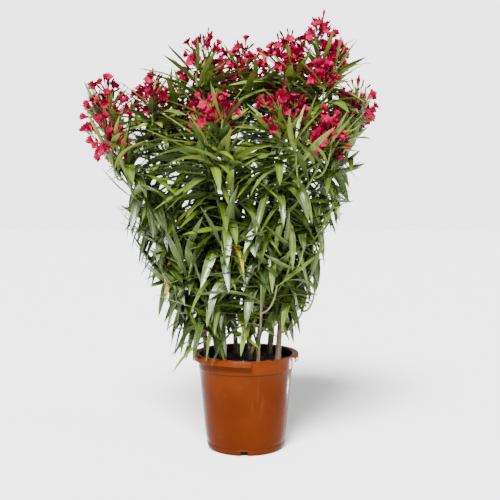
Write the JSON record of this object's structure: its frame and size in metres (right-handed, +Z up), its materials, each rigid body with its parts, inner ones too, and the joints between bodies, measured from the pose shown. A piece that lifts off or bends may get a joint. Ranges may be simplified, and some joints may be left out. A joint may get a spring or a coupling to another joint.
{
  "type": "potted oleander",
  "caption": "Potted flowering shrub: upright stems fork into leafy shoots with red blossom above a round tapered plastic pot that stands on its flat underside.",
  "frame": {"origin": "middle of the pot's flat underside, at the mount base", "axes": "+Z up along the pot's axis; -Y faces the pictured front; +X to the right of that view"},
  "size_m": [0.8454, 0.7202, 1.1999],
  "materials": {
    "pot_plastic": "satin",
    "compost": "matte",
    "bark": "matte",
    "green_wood": "satin",
    "leaf": "satin",
    "blossom": "matte"
  },
  "bodies": {
    "root": {"bough_back_left_1": "green_wood", "bough_back_left_2": "green_wood", "bough_back_right_1": "green_wood", "bough_back_right_2": "green_wood", "bough_front_1": "green_wood", "bough_front_2": "green_wood", "bough_front_right_1": "green_wood", "bough_front_right_2": "green_wood", "bough_left_1": "green_wood", "bough_left_2": "green_wood", "bough_left_3": "green_wood", "bough_left_inner_1": "green_wood", "bough_left_inner_2": "green_wood", "bough_middle_1": "green_wood", "bough_middle_2": "green_wood", "bough_right_1": "green_wood", "bough_right_2": "green_wood", "foliage_back_left_low_1": "leaf", "foliage_back_left_low_2": "leaf", "foliage_back_left_top_1": "leaf", "foliage_back_left_top_2": "leaf", "foliage_back_right_low_1": "leaf", "foliage_back_right_low_2": "leaf", "foliage_back_right_top_1": "leaf", "foliage_back_right_top_2": "leaf", "foliage_front_low_1": "leaf", "foliage_front_low_2": "leaf", "foliage_front_low_3": "leaf", "foliage_front_right_low_1": "leaf", "foliage_front_right_low_2": "leaf", "foliage_front_right_top_1": "leaf", "foliage_front_right_top_2": "leaf", "foliage_front_top_1": "leaf", "foliage_front_top_2": "leaf", "foliage_left_inner_low_1": "leaf", "foliage_left_inner_low_2": "leaf", "foliage_left_inner_top_1": "leaf", "foliage_left_inner_top_2": "leaf", "foliage_left_low_1": "leaf", "foliage_left_low_2": "leaf", "foliage_left_top_1": "leaf", "foliage_left_top_2": "leaf", "foliage_left_top_3": "leaf", "foliage_middle_top_1": "leaf", "foliage_middle_top_2": "leaf", "foliage_right_low_1": "leaf", "foliage_right_low_2": "leaf", "foliage_right_top_1": "leaf", "foliage_right_top_2": "leaf", "pot": "pot_plastic", "soil": "compost", "stem_back_left": "bark", "stem_back_right": "bark", "stem_front": "bark", "stem_front_right": "bark", "stem_left": "bark", "stem_left_inner": "bark", "stem_middle": "bark", "stem_right": "bark"}
  },
  "joints": []
}
